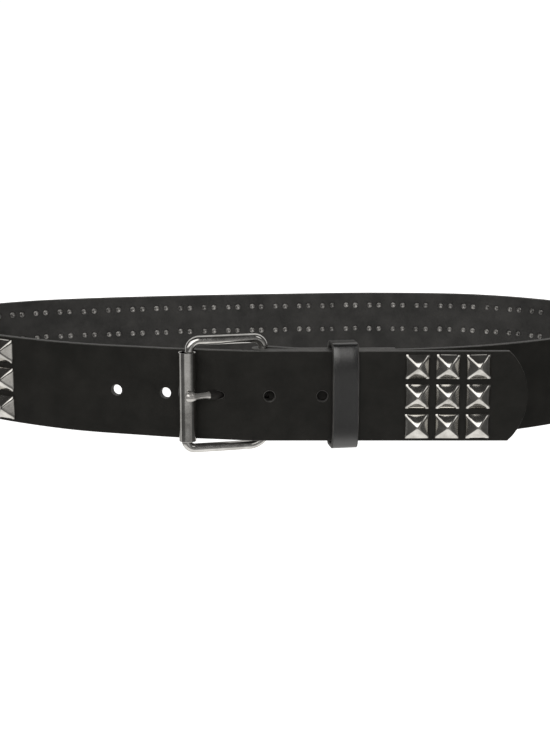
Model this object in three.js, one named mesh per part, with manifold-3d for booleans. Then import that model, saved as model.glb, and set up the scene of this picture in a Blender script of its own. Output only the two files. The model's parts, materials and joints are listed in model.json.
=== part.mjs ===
// Studded leather belt, buckled into a closed loop and resting on its edge.
// Millimetres, +Z up. The buckle faces -Y, and the wearer's waist is inside the loop.
import * as THREE from 'three';
import { mergeVertices } from 'three/addons/utils/BufferGeometryUtils.js';
import Module from 'manifold-3d';

const wasm = await Module();
wasm.setup();

// Fits
const GAP = 0.3;

// Strap
const STRAP_WIDTH = 44;
const STRAP_THICKNESS = 3.2;
const STRAP_EDGE_CHAMFER = 0.5;
const STRAP_STEP = 9;
const LOOP_WIDTH = 370;
const LOOP_DEPTH = 202;
const LOOP_OFFSET = 7.6;
const TIP_REACH = 127;
const TIP_LENGTH = 9.1;
const FOLD_REACH = 63.7;
const FOLD_CLOSES = 18;
const FOLD_PARTS = 50;
const FOLD_STEP_COUNT = 6;
const WRAP_STEP_COUNT = 8;
const CURVE_DIVISION_COUNT = 4000;
const MERGE_DISTANCE = 1e-4;

// Holes, counted from the one nearest the tip
const HOLE_COUNT = 5;
const HOLE_PITCH = 25.4;
const HOLE_DIAMETER = 5.2;
const HOLE_SIDE_COUNT = 16;
const TONGUE_HOLE_NUMBER = 2;
const TONGUE_HOLE_REACH = 22.4;

// Studs
const STUD_SIDE = 11.8;
const STUD_SKIRT = 0.8;
const STUD_HEIGHT = 4.7;
const STUD_FLAT = 0.5;
const STUD_PITCH = 14.6;
const STUD_ROWS = 3;
const STUD_SINK = 0.6;
const TIP_COLUMNS = 3;
const LAST_STUD_FROM_TIP = 23.9;
const FIELD_FROM_TIP = 265.7;
const FIELD_FROM_FOLD = 160;

// Posts of the studs near the tip
const POST_DIAMETER = 1.6;
const POST_SPACING = 5.8;
const POST_END_DIAMETER = 3;
const POST_END_THICKNESS = 0.6;
const POST_ROOT = 0.4;
const POST_SIDE_COUNT = 6;

// Buckle
const WIRE_DIAMETER = 4.5;
const FRAME_WIDTH = 42;
const FRAME_HEIGHT = 57.3;
const FRAME_CORNER = 7;
const FRAME_LEAN = THREE.MathUtils.degToRad(14.5);
const FRAME_LIFT = 0.5;
const FRAME_FLARE = 2.4;
const FRAME_DRAW = 2.4;
const ROLLER_DIAMETER = 8.3;
const ROLLER_WALL = 0.5;
const ROLLER_LENGTH = 43.6;
const ROLLER_DROP = 0.8;
const TONGUE_DIAMETER = 3.6;
const WIRE_SIDE_COUNT = 10;
const ROUND_SIDE_COUNT = 24;
const FRAME_CORNER_COUNT = 5;

// Tongue: how many spans it has, and the angles where its ring and its rest end
const TONGUE_SPAN_COUNT = 34;
const RING_STEP_COUNT = 12;
const RING_START = THREE.MathUtils.degToRad(165);
const RING_END = THREE.MathUtils.degToRad(-90);
const REST_STEP_COUNT = 4;
const REST_END = THREE.MathUtils.degToRad(-97);

// Keeper
const KEEPER_BAND = 12.8;
const KEEPER_THICKNESS = 2.2;
const KEEPER_HEIGHT = 51.7;
const KEEPER_CORNER = 3.4;
const KEEPER_CHAMFER = 0.4;
const KEEPER_PLACE = 38.4;
const KEEPER_TURN = THREE.MathUtils.degToRad(9);
const KEEPER_CORNER_COUNT = 4;

// Rivets of the fold: one just past its mouth, one just past the keeper
const RIVET_PAST_MOUTH = 2;
const RIVET_PAST_KEEPER = 2;
const RIVET_SIDE_COUNT = 12;
const RIVET_SHANK_DIAMETER = 3.6;
const RIVET_HEAD_DIAMETER = 8;
const RIVET_HEAD_THICKNESS = 0.9;

// The loop's plan: across in shares of its half width, deep in shares of its depth.
const LOOP_PLAN = [
  { across: 0.344, deep: 0.007 },
  { across: 0.535, deep: 0.054 },
  { across: 0.744, deep: 0.157 },
  { across: 0.875, deep: 0.262 },
  { across: 0.967, deep: 0.413 },
  { across: 1.0, deep: 0.585 },
  { across: 0.968, deep: 0.724 },
  { across: 0.877, deep: 0.84 },
  { across: 0.657, deep: 0.963 },
  { across: 0.329, deep: 1.0 },
  { across: -0.008, deep: 0.973 },
  { across: -0.34, deep: 0.932 },
  { across: -0.66, deep: 0.867 },
  { across: -0.813, deep: 0.814 },
  { across: -0.973, deep: 0.703 },
  { across: -1.0, deep: 0.605 },
  { across: -0.971, deep: 0.444 },
  { across: -0.883, deep: 0.303 },
  { across: -0.777, deep: 0.214 },
  { across: -0.558, deep: 0.097 },
  { across: -0.358, deep: 0.038 },
];

// How the strap rises from the fold bar (0) to behind the roller (1).
const PASS_PLAN = [
  { along: 1.0, rise: 1.0 },
  { along: 0.7, rise: 0.7 },
  { along: 0.37, rise: 0.34 },
  { along: 0.15, rise: 0.08 },
  { along: 0.0, rise: 0.0 },
];

// Straight stations of the free end, in shares of its way from the fold bar to the taper.
const FREE_END_PLAN = [0.1, 0.4, 0.7];

// The tip's outline: along in shares of its length, half in shares of the strap's half width.
const TIP_PLAN = [
  { along: 0, half: 1 },
  { along: 0.567, half: 0.705 },
  { along: 0.8, half: 0.49 },
  { along: 0.94, half: 0.295 },
  { along: 1, half: 0.1 },
];

// The tongue behind the strap: along in shares of the way from bar to hole,
// clear in shares of the tongue's diameter beyond a plain running gap.
const TONGUE_PLAN = [
  { along: 0.31, clear: 0.25 },
  { along: 0.58, clear: 0.35 },
  { along: 0.78, clear: 0.25 },
];

// The tongue's rounded end, in shares of its radius.
const TONGUE_END_PLAN = [1, 0.85, 0.5];

// Places that follow from the sizes
const wireRadius = WIRE_DIAMETER / 2;
const tongueRadius = TONGUE_DIAMETER / 2;
const rollerRadius = ROLLER_DIAMETER / 2;
const midHeight = STRAP_WIDTH / 2;
const firstHoleFromTip = TIP_REACH + TONGUE_HOLE_REACH - TONGUE_HOLE_NUMBER * HOLE_PITCH;
const layer = STRAP_THICKNESS + GAP;
const freeY = STRAP_THICKNESS / 2;
const mainY = freeY + layer;
const flapY = mainY + layer;
const ringRadius = wireRadius + GAP + tongueRadius;
const slotRadius = ringRadius + tongueRadius + GAP;
const slotHeight = TONGUE_DIAMETER + 4 * GAP;
const wrapRadius = wireRadius + GAP + STRAP_THICKNESS / 2;
const barY = STRAP_THICKNESS + GAP + slotRadius;
const frameSpan = FRAME_WIDTH - WIRE_DIAMETER;
const frameRise = FRAME_HEIGHT - WIRE_DIAMETER;
const frameFlare = FRAME_FLARE / frameRise;
const rollerPlay = rollerRadius - ROLLER_WALL - wireRadius - GAP
  - frameFlare * ROLLER_LENGTH / 2;
const rollerReach = frameSpan + rollerPlay;
const rollerX = -rollerReach * Math.cos(FRAME_LEAN);
const rollerY = barY - rollerReach * Math.sin(FRAME_LEAN);
const backY = LOOP_DEPTH - STRAP_THICKNESS / 2;
const halfLoop = (LOOP_WIDTH - STRAP_THICKNESS) / 2;
const secondRivet = KEEPER_PLACE + KEEPER_BAND / 2 + RIVET_PAST_KEEPER + RIVET_HEAD_DIAMETER / 2;
const rivetPlaces = [FOLD_CLOSES + RIVET_PAST_MOUTH, secondRivet];
const rowHeights = Array.from({ length: STUD_ROWS },
  (_, row) => midHeight + ((STUD_ROWS - 1) / 2 - row) * STUD_PITCH);

const leather = new THREE.MeshStandardMaterial({ color: 0x222321, roughness: 0.55, metalness: 0 });
const nickel = new THREE.MeshStandardMaterial({ color: 0xc4c4c0, roughness: 0.22, metalness: 1 });

// Gives a shell of triangles its outward side and returns it as a geometry.
function shell(positions, triangles) {
  const at = (i) => new THREE.Vector3().fromArray(positions, 3 * i);
  let volume = 0;
  for (let i = 0; i < triangles.length; i += 3) {
    const [a, b, c] = [at(triangles[i]), at(triangles[i + 1]), at(triangles[i + 2])];
    volume += a.dot(b.cross(c));
  }
  const facing = volume < 0 ? [...triangles].reverse() : triangles;
  const geometry = new THREE.BufferGeometry();
  geometry.setAttribute('position', new THREE.Float32BufferAttribute(positions, 3));
  geometry.setIndex(facing);
  return geometry;
}

// Joins rings of equally many points into one closed shell.
function loft(rings, endless = false) {
  const sides = rings[0].length;
  const triangles = [];
  const spans = endless ? rings.length : rings.length - 1;
  for (let i = 0; i < spans; i++) {
    const near = i * sides;
    const far = ((i + 1) % rings.length) * sides;
    for (let j = 0; j < sides; j++) {
      const k = (j + 1) % sides;
      triangles.push(near + j, near + k, far + k, near + j, far + k, far + j);
    }
  }
  if (!endless) {
    const last = (rings.length - 1) * sides;
    for (let j = 1; j < sides - 1; j++) {
      triangles.push(0, j + 1, j, last, last + j, last + j + 1);
    }
  }
  return shell(rings.flat().flatMap((p) => [p.x, p.y, p.z]), triangles);
}

// Unit tangent of a plane path at point i.
function tangentOf(points, i, endless) {
  const count = points.length;
  const next = endless ? points[(i + 1) % count] : points[Math.min(i + 1, count - 1)];
  const last = endless ? points[(i + count - 1) % count] : points[Math.max(i - 1, 0)];
  return new THREE.Vector2(next.x - last.x, next.y - last.y).normalize();
}

// Sweeps a section along a path in the XY plane. A section's points are out, along the
// path's normal, and up, along Z.
function sweep(points, sectionAt, endless = false) {
  const rings = points.map((point, i) => {
    const tangent = tangentOf(points, i, endless);
    return sectionAt(i).map(({ out, up }) =>
      new THREE.Vector3(point.x + tangent.y * out, point.y - tangent.x * out, up));
  });
  return loft(rings, endless);
}

function roundSection(radius, sides, height = 0) {
  return Array.from({ length: sides }, (_, i) => {
    const angle = (2 * Math.PI * (i + 0.5)) / sides;
    return { out: radius * Math.cos(angle), up: height + radius * Math.sin(angle) };
  });
}

function bandSection(thickness, width, chamfer, height = 0) {
  const t = thickness / 2;
  const w = width / 2;
  const corners = [[t, chamfer - w], [t, w - chamfer], [t - chamfer, w], [chamfer - t, w],
    [-t, w - chamfer], [-t, chamfer - w], [chamfer - t, -w], [t - chamfer, -w]];
  return corners.map(([out, up]) => ({ out, up: height + up }));
}

function roundedRectangle(width, height, radius, steps) {
  const points = [];
  for (let corner = 0; corner < 4; corner++) {
    const sideX = corner === 0 || corner === 3 ? 1 : -1;
    const sideY = corner < 2 ? 1 : -1;
    for (let step = 0; step <= steps; step++) {
      const angle = (Math.PI / 2) * (corner + step / steps);
      points.push(new THREE.Vector2(
        sideX * (width / 2 - radius) + radius * Math.cos(angle),
        sideY * (height / 2 - radius) + radius * Math.sin(angle)));
    }
  }
  return points;
}

// A turned piece along Z from a profile of radius and height.
function turned(profile, sides) {
  return loft(profile.map(({ radius, height }) => roundSection(radius, sides)
    .map(({ out, up }) => new THREE.Vector3(out, up, height))));
}

function toSolid(geometry) {
  const plain = geometry.clone();
  plain.deleteAttribute('normal');
  plain.deleteAttribute('uv');
  const merged = mergeVertices(plain, MERGE_DISTANCE);
  return new wasm.Manifold(new wasm.Mesh({
    numProp: 3,
    vertProperties: new Float32Array(merged.attributes.position.array),
    triVerts: new Uint32Array(merged.index.array),
  }));
}

function toGeometry(solid) {
  const mesh = solid.getMesh();
  const geometry = new THREE.BufferGeometry();
  geometry.setAttribute('position', new THREE.BufferAttribute(mesh.vertProperties, 3));
  geometry.setIndex(new THREE.BufferAttribute(mesh.triVerts, 1));
  return geometry;
}

function named(name, geometry, material) {
  geometry.computeVertexNormals();
  const mesh = new THREE.Mesh(geometry, material);
  mesh.name = name;
  return mesh;
}

// The strap's centre line in plan, from the folded end to the tip.
function strapStations() {
  const stations = [];
  const add = (x, y, half = 1) => stations.push({ x, y, half });
  const ease = (t) => t * t * (3 - 2 * t);
  const blend = (from, to, share) => from + (to - from) * share;
  const loop = LOOP_PLAN.map(({ across, deep }) =>
    ({ x: LOOP_OFFSET + across * halfLoop, y: blend(mainY, backY, deep) }));
  const parted = (FOLD_REACH - FOLD_PARTS) / (loop[0].x - FOLD_PARTS);
  const endRise = (loop[0].y - mainY) * parted ** 2;
  add(FOLD_REACH, flapY + endRise);
  add(FOLD_PARTS, flapY);
  add((FOLD_PARTS + FOLD_CLOSES) / 2, flapY);
  for (let i = FOLD_STEP_COUNT; i > 0; i--) {
    const share = i / FOLD_STEP_COUNT;
    add(FOLD_CLOSES * share, blend(barY + wrapRadius, flapY, ease(share)));
  }
  for (let i = 0; i <= WRAP_STEP_COUNT; i++) {
    const angle = Math.PI / 2 + (Math.PI * i) / WRAP_STEP_COUNT;
    add(wrapRadius * Math.cos(angle), barY + wrapRadius * Math.sin(angle));
  }
  for (let i = 1; i <= FOLD_STEP_COUNT; i++) {
    const share = i / FOLD_STEP_COUNT;
    add(FOLD_CLOSES * share, blend(barY - wrapRadius, mainY, ease(share)));
  }
  add((FOLD_CLOSES + FOLD_PARTS) / 2, mainY);
  add(FOLD_PARTS, mainY);
  add(FOLD_REACH, mainY + endRise);
  for (const { x, y } of loop) add(x, y);
  const passStart = -STRAP_THICKNESS;
  const behindRoller = rollerY + rollerRadius + 2 * GAP + STRAP_THICKNESS / 2;
  for (const { along, rise } of PASS_PLAN) {
    add(blend(passStart, rollerX, along), blend(freeY, behindRoller, rise));
  }
  const taperStart = TIP_REACH - TIP_LENGTH;
  for (const share of FREE_END_PLAN) {
    add(blend(passStart, taperStart, share), freeY);
  }
  for (const { along, half } of TIP_PLAN) {
    add(taperStart + along * TIP_LENGTH, freeY, half);
  }
  return stations;
}

const stations = strapStations();
const strapCurve = new THREE.CatmullRomCurve3(
  stations.map(({ x, y }) => new THREE.Vector3(x, y, 0)), false, 'centripetal');
strapCurve.arcLengthDivisions = CURVE_DIVISION_COUNT;
const strapLength = strapCurve.getLength();
const foldLength = FOLD_REACH + Math.PI * wrapRadius;

// Point, direction along the strap and outward direction at a distance from the tip.
function onStrap(fromTip) {
  const share = 1 - fromTip / strapLength;
  const point = strapCurve.getPointAt(share);
  const along = strapCurve.getTangentAt(share);
  return { point, along, out: new THREE.Vector3(along.y, -along.x, 0) };
}

const tongueHole = onStrap(TIP_REACH + TONGUE_HOLE_REACH);

// The tongue's line: round the bar, behind the strap, through its hole and on to the roller.
function tongueLine() {
  const points = [];
  for (let i = 0; i <= RING_STEP_COUNT; i++) {
    const angle = RING_START + ((RING_END - RING_START) * i) / RING_STEP_COUNT;
    points.push(new THREE.Vector2(
      ringRadius * Math.cos(angle), barY + ringRadius * Math.sin(angle)));
  }
  const hole = tongueHole.point;
  for (const { along, clear } of TONGUE_PLAN) {
    const { point } = onStrap(TIP_REACH + TONGUE_HOLE_REACH * along);
    const seat = STRAP_THICKNESS / 2 + 2 * GAP + tongueRadius + clear * TONGUE_DIAMETER;
    points.push(new THREE.Vector2(point.x, point.y + seat));
  }
  points.push(new THREE.Vector2(hole.x, hole.y));
  const { reach, centre, touch } = tongueRest();
  for (let i = 0; i <= REST_STEP_COUNT; i++) {
    const angle = touch + ((REST_END - touch) * i) / REST_STEP_COUNT;
    points.push(new THREE.Vector2(
      centre.x + reach * Math.cos(angle), centre.y + reach * Math.sin(angle)));
  }
  return points;
}

// Where the tongue's straight stretch from the hole first bears on the roller.
function tongueRest() {
  const centre = new THREE.Vector2(rollerX, rollerY);
  const reach = rollerRadius + GAP + tongueRadius;
  const hole = new THREE.Vector2(tongueHole.point.x, tongueHole.point.y).sub(centre);
  const touch = Math.atan2(hole.y, hole.x) - Math.acos(reach / hole.length());
  return { reach, centre, touch };
}

// Length of the hole that the slanted tongue needs.
function tongueHoleLength() {
  const { touch } = tongueRest();
  const tongueSlope = touch + Math.PI / 2;
  const strapSlope = Math.atan2(tongueHole.along.y, tongueHole.along.x);
  const crossing = tongueSlope - strapSlope;
  return TONGUE_DIAMETER / Math.sin(crossing) + STRAP_THICKNESS / Math.tan(crossing) + 4 * GAP;
}

// A pyramid's rings on a base point, with its side, up and out directions.
function studRings(base, along, out, sink) {
  const half = STUD_SIDE / 2;
  const levels = [
    { half, height: -sink },
    { half, height: STUD_SKIRT },
    { half: STUD_FLAT / 2, height: STUD_HEIGHT },
  ];
  const up = new THREE.Vector3(0, 0, 1);
  return levels.map((level) => [[1, 1], [-1, 1], [-1, -1], [1, -1]].map(([a, b]) =>
    base.clone()
      .addScaledVector(along, a * level.half)
      .addScaledVector(up, b * level.half)
      .addScaledVector(out, level.height)));
}

// A cutter across the strap, with its axis along the strap's outward direction.
function crossCutter({ point, out }, height, diameter, length, sides) {
  const cutter = new THREE.CylinderGeometry(diameter / 2, diameter / 2, 4 * STRAP_THICKNESS, sides);
  cutter.rotateY(Math.PI / sides);
  cutter.scale(length / diameter, 1, 1);
  cutter.rotateZ(Math.atan2(out.y, out.x) - Math.PI / 2);
  cutter.translate(point.x, point.y, height);
  return cutter;
}

// A plain round cutter or pin along Y, between two depths.
function alongDepth(x, z, radius, from, to, sides) {
  const pin = new THREE.CylinderGeometry(radius, radius, to - from, sides);
  pin.translate(x, (from + to) / 2, z);
  return pin;
}

// Keeps a hole's cutter off the layer that lies right behind the free end.
function guarded(cutter, point) {
  const guard = new THREE.BoxGeometry(HOLE_PITCH, layer, HOLE_PITCH);
  guard.translate(point.x, point.y, midHeight);
  return toSolid(cutter).intersect(toSolid(guard));
}

// Place along the free end of a column of tip studs, counted from the buckle.
function tipColumnX(column) {
  return TIP_REACH - LAST_STUD_FROM_TIP - (TIP_COLUMNS - 1 - column) * STUD_PITCH;
}

function postPlaces() {
  const places = [];
  for (let column = 0; column < TIP_COLUMNS; column++) {
    const x = tipColumnX(column);
    for (const z of rowHeights) {
      for (const side of [-1, 1]) places.push({ x: x + (side * POST_SPACING) / 2, z });
    }
  }
  return places;
}

function strap() {
  const points = [];
  const count = stations.length - 1;
  for (let i = 0; i < count; i++) {
    const reach = Math.hypot(stations[i + 1].x - stations[i].x, stations[i + 1].y - stations[i].y);
    const parts = Math.ceil(reach / STRAP_STEP);
    for (let k = 0; k < parts; k++) {
      const { x, y } = strapCurve.getPoint((i + k / parts) / count);
      const half = stations[i].half + ((stations[i + 1].half - stations[i].half) * k) / parts;
      points.push({ x, y, half });
    }
  }
  points.push(stations[count]);
  const bandAt = (i) => bandSection(
    STRAP_THICKNESS, STRAP_WIDTH * points[i].half, STRAP_EDGE_CHAMFER, midHeight);
  let solid = toSolid(sweep(points, bandAt));

  const fieldEnd = strapLength - foldLength - FIELD_FROM_FOLD;
  const columns = Math.floor((fieldEnd - FIELD_FROM_TIP) / STUD_PITCH) + 1;
  for (let column = 0; column < columns; column++) {
    const { point, along, out } = onStrap(FIELD_FROM_TIP + column * STUD_PITCH);
    for (const z of rowHeights) {
      const base = point.clone().addScaledVector(out, STRAP_THICKNESS / 2).setZ(z);
      solid = solid.add(toSolid(loft(studRings(base, along, out, STUD_SINK))));
    }
  }

  for (let i = 0; i < HOLE_COUNT; i++) {
    const place = onStrap(firstHoleFromTip + i * HOLE_PITCH);
    const length = i === TONGUE_HOLE_NUMBER ? tongueHoleLength() : HOLE_DIAMETER;
    const cutter = crossCutter(place, midHeight, HOLE_DIAMETER, length, HOLE_SIDE_COUNT);
    const overFold = place.point.x > -slotRadius;
    solid = solid.subtract(overFold ? guarded(cutter, place.point) : toSolid(cutter));
  }
  const face = layer - GAP / 2;
  const drill = (x, z, diameter, from, to, sides) => {
    const cutter = alongDepth(x, z, diameter / 2 + GAP, from, to, sides);
    solid = solid.subtract(toSolid(cutter));
  };
  const postSeat = layer + POST_END_THICKNESS + GAP;
  for (const { x, z } of postPlaces()) {
    drill(x, z, POST_DIAMETER, -GAP / 2, face, POST_SIDE_COUNT);
    drill(x, z, POST_END_DIAMETER, face, postSeat, POST_SIDE_COUNT);
  }
  const headSeat = layer + RIVET_HEAD_THICKNESS + GAP;
  for (const x of rivetPlaces) {
    drill(x, midHeight, RIVET_SHANK_DIAMETER, face, 3 * layer, RIVET_SIDE_COUNT);
    drill(x, midHeight, RIVET_HEAD_DIAMETER, face, headSeat, RIVET_SIDE_COUNT);
  }
  const slot = new THREE.CylinderGeometry(slotRadius, slotRadius, slotHeight, ROUND_SIDE_COUNT);
  slot.rotateX(Math.PI / 2);
  slot.translate(0, barY, midHeight);
  solid = solid.subtract(toSolid(slot));
  return named('strap', toGeometry(solid), leather);
}

// The frame's line from its right bar: the left bar slants out to a wider foot, and the
// lower right corner is drawn in past the strap's edge.
function frameLine() {
  const corner = FRAME_CORNER - wireRadius;
  const bend = frameRise / 2 - corner;
  return roundedRectangle(frameSpan, frameRise, corner, FRAME_CORNER_COUNT).map(({ x, y }) => {
    const share = 0.5 - x / frameSpan;
    const slant = share * (frameSpan - frameFlare * y);
    const drop = Math.max(0, -y - bend) / corner;
    return new THREE.Vector2(-slant - FRAME_DRAW * drop ** 3 * (1 - share), y);
  });
}

function buckleFrame() {
  const geometry = sweep(frameLine(), () => roundSection(wireRadius, WIRE_SIDE_COUNT), true);
  geometry.rotateX(Math.PI / 2);
  const mesh = named('buckle_frame', geometry, nickel);
  mesh.position.set(0, barY, midHeight + FRAME_LIFT);
  mesh.rotation.z = FRAME_LEAN;
  return mesh;
}

function roller() {
  const half = ROLLER_LENGTH / 2;
  const inner = rollerRadius - ROLLER_WALL;
  const profile = [[inner, -half], [rollerRadius, -half], [rollerRadius, half],
    [inner, half], [inner, -half]].map(([r, y]) => new THREE.Vector2(r, y));
  const geometry = mergeable(new THREE.LatheGeometry(profile, ROUND_SIDE_COUNT));
  geometry.rotateX(Math.PI / 2);
  const mesh = named('roller', geometry, nickel);
  mesh.position.set(rollerX, rollerY, midHeight + FRAME_LIFT - ROLLER_DROP);
  mesh.rotation.z = FRAME_LEAN;
  return mesh;
}

function mergeable(geometry) {
  return toGeometry(toSolid(geometry));
}

function tongue() {
  const line = new THREE.CatmullRomCurve3(
    tongueLine().map(({ x, y }) => new THREE.Vector3(x, y, 0)), false, 'centripetal');
  const points = line.getSpacedPoints(TONGUE_SPAN_COUNT);
  const endStart = points.length - TONGUE_END_PLAN.length;
  const sizeAt = (i) => (i < endStart ? 1 : TONGUE_END_PLAN[i - endStart]);
  const sectionAt = (i) => roundSection(tongueRadius * sizeAt(i), WIRE_SIDE_COUNT, midHeight);
  return named('tongue', sweep(points, sectionAt), nickel);
}

function keeper() {
  const stack = 3 * STRAP_THICKNESS + 2 * GAP;
  const swing = KEEPER_BAND * Math.tan(KEEPER_TURN);
  const depth = (stack + 2 * GAP + swing) * Math.cos(KEEPER_TURN) + GAP;
  const line = roundedRectangle(depth + KEEPER_THICKNESS, KEEPER_HEIGHT - KEEPER_THICKNESS,
    KEEPER_CORNER - KEEPER_THICKNESS / 2, KEEPER_CORNER_COUNT);
  const band = bandSection(KEEPER_THICKNESS, KEEPER_BAND, KEEPER_CHAMFER);
  const geometry = sweep(line, () => band, true);
  geometry.rotateX(Math.PI / 2);
  geometry.rotateZ(Math.PI / 2);
  const mesh = named('keeper', geometry, leather);
  mesh.position.set(KEEPER_PLACE, stack / 2, midHeight);
  mesh.rotation.z = KEEPER_TURN;
  return mesh;
}

function foldRivet(x, index) {
  const shank = RIVET_SHANK_DIAMETER / 2;
  const head = RIVET_HEAD_DIAMETER / 2;
  const back = 3 * layer;
  const geometry = turned([
    { radius: head, height: layer },
    { radius: head, height: layer + RIVET_HEAD_THICKNESS },
    { radius: shank, height: layer + RIVET_HEAD_THICKNESS },
    { radius: shank, height: back },
    { radius: head, height: back },
    { radius: head, height: back + RIVET_HEAD_THICKNESS },
  ], RIVET_SIDE_COUNT);
  geometry.rotateX(-Math.PI / 2);
  const mesh = named(`fold_rivet_${index + 1}`, geometry, nickel);
  mesh.position.set(x, 0, midHeight);
  return mesh;
}

function tipStudGeometry() {
  const base = new THREE.Vector3(0, -GAP, 0);
  const along = new THREE.Vector3(1, 0, 0);
  const out = new THREE.Vector3(0, -1, 0);
  let solid = toSolid(loft(studRings(base, along, out, 0)));
  const clinch = STRAP_THICKNESS + GAP;
  for (const side of [-1, 1]) {
    const post = turned([
      { radius: POST_DIAMETER / 2, height: -GAP - POST_ROOT },
      { radius: POST_DIAMETER / 2, height: clinch },
      { radius: POST_END_DIAMETER / 2, height: clinch },
      { radius: POST_END_DIAMETER / 2, height: clinch + POST_END_THICKNESS },
    ], POST_SIDE_COUNT);
    post.rotateX(-Math.PI / 2);
    post.translate((side * POST_SPACING) / 2, 0, 0);
    solid = solid.add(toSolid(post));
  }
  return toGeometry(solid);
}

function tipStuds() {
  const geometry = tipStudGeometry();
  const studs = [];
  for (let row = 0; row < STUD_ROWS; row++) {
    for (let column = 0; column < TIP_COLUMNS; column++) {
      const stud = named(`tip_stud_r${row + 1}c${column + 1}`, geometry, nickel);
      stud.position.set(tipColumnX(column), 0, rowHeights[row]);
      studs.push(stud);
    }
  }
  return studs;
}

// The buckle hangs below the strap, so the belt rests on the frame in front and on its
// lower edge behind, tipped by this angle.
const frameDrop = FRAME_HEIGHT / 2 - FRAME_LIFT - midHeight;
const restTilt = Math.atan2(frameDrop, LOOP_DEPTH - barY);

const belt = new THREE.Group();
belt.add(strap(), buckleFrame(), roller(), tongue(), keeper(), ...rivetPlaces.map(foldRivet),
  ...tipStuds());
belt.rotation.x = -restTilt;

const part = new THREE.Group();
part.add(belt);
part.updateMatrixWorld(true);
const box = new THREE.Box3().setFromObject(part, true);
belt.position.set(-(box.min.x + box.max.x) / 2, -(box.min.y + box.max.y) / 2, -box.min.z);
part.updateMatrixWorld(true);

export default part;
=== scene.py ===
"""Studded leather belt: the finished surfaces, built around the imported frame."""
import json
import math
import random

import bmesh
import bpy
import numpy as np
from mathutils import Matrix, Vector


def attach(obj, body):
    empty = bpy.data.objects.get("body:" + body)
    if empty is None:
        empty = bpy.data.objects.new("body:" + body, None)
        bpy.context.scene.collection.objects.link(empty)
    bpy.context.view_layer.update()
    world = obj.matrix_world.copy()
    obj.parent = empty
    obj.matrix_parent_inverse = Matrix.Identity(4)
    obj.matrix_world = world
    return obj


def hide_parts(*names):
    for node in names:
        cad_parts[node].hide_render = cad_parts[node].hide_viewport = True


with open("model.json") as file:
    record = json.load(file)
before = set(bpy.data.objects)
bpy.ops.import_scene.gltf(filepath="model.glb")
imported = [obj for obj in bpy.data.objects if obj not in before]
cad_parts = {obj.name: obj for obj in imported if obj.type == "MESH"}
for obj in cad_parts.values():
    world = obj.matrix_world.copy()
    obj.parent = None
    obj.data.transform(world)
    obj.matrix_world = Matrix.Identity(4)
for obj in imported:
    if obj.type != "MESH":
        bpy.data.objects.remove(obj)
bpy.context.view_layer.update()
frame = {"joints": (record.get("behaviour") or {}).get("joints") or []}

bpy.context.scene.view_settings.view_transform = "Standard"

MM = 0.001

# Driving sizes, in millimetres, the same as the solids'
GAP = 0.3
STRAP_WIDTH = 44
STRAP_THICKNESS = 3.2
LOOP_WIDTH = 370
LOOP_DEPTH = 202
LOOP_OFFSET = 7.6
TIP_REACH = 127
TIP_LENGTH = 9.1
FOLD_REACH = 63.7
FOLD_CLOSES = 18
FOLD_PARTS = 50
HOLE_COUNT = 5
HOLE_PITCH = 25.4
HOLE_DIAMETER = 5.2
TONGUE_HOLE_NUMBER = 2
TONGUE_HOLE_REACH = 22.4
STUD_SIDE = 11.8
STUD_SKIRT = 0.8
STUD_HEIGHT = 4.7
STUD_PITCH = 14.6
STUD_ROWS = 3
TIP_COLUMNS = 3
LAST_STUD_FROM_TIP = 23.9
FIELD_FROM_TIP = 265.7
FIELD_FROM_FOLD = 160
POST_SPACING = 5.8
WIRE_DIAMETER = 4.5
FRAME_WIDTH = 42
FRAME_HEIGHT = 57.3
FRAME_CORNER = 7
FRAME_LEAN = math.radians(14.5)
FRAME_LIFT = 0.5
FRAME_FLARE = 2.4
FRAME_DRAW = 2.4
ROLLER_DIAMETER = 8.3
ROLLER_WALL = 0.5
ROLLER_LENGTH = 43.6
ROLLER_DROP = 0.8
TONGUE_DIAMETER = 3.6
KEEPER_BAND = 12.8
KEEPER_THICKNESS = 2.2
KEEPER_HEIGHT = 51.7
KEEPER_PLACE = 38.4
KEEPER_TURN = math.radians(9)
RIVET_PAST_MOUTH = 2
RIVET_PAST_KEEPER = 2
RIVET_HEAD_RADIUS = 4
RIVET_HEAD_THICKNESS = 0.9

# Finer shapes in millimetres, shares and degrees, which only this script has
LEATHER_EDGE_RADIUS = 0.3
HOLE_RIM = 0.35
HOLE_FLARE = 1.4
STUD_RIDGE = 12
STUD_SWELL = 1.4
STUD_RIPPLE = 0.012
STUD_WAVES = 3
STUD_NARROW = 0.96
STUD_FOOT = 0.15
STUD_TILT = 0.9
POST_END_RADIUS = 1.65
POST_END_HEIGHT = 0.5
POST_END_SIZES = (0.9, 1.04)
POST_END_STRAY = 0.12
ROLLER_SEAM = math.radians(2.5)
ROLLER_EASE = 0.15
TONGUE_RING_ARC = (165, -90)
TONGUE_END_ANGLE = math.radians(-97)
TONGUE_LEAST_RADIUS = 0.25
TONGUE_SHANK = 0.83
TONGUE_SHANK_LENGTH = 17
# Past this length from the tip the tongue carries a painted shade: a near-black material in its
# hole and behind the strap
TONGUE_UNSHADED_LENGTH = 13.5
TONGUE_TIP_LENGTH = 6.5
TONGUE_TIP_SWELL = 0.6
TONGUE_TIP_STEEP = 2
TONGUE_TIP_LIFT = 0.9
TONGUE_LIFT_LENGTH = 24
TONGUE_SAG = 0.3
TONGUE_FILL = 0.32
KEEPER_BEND = 15
KEEPER_ROUND = 3.6
KEEPER_EDGE_RADIUS = 0.55
RIVET_SHANK_RADIUS = 1.8

# How finely the lines are divided, and the bends in degrees from which an edge looks sharp
LINE_PARTS = 60
LINE_STEP = 2.2
LINE_LEAST_STEP = 0.25
STUD_STEPS = 22
SHARP = 40
STUD_SHARP = 50
POST_END_SHARP = 70

# Where each material lies on a leather piece
OUTER_FACE = 0
INNER_FACE = 1
CUT_EDGE = 2
KEEPER_TOP = 3

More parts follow.
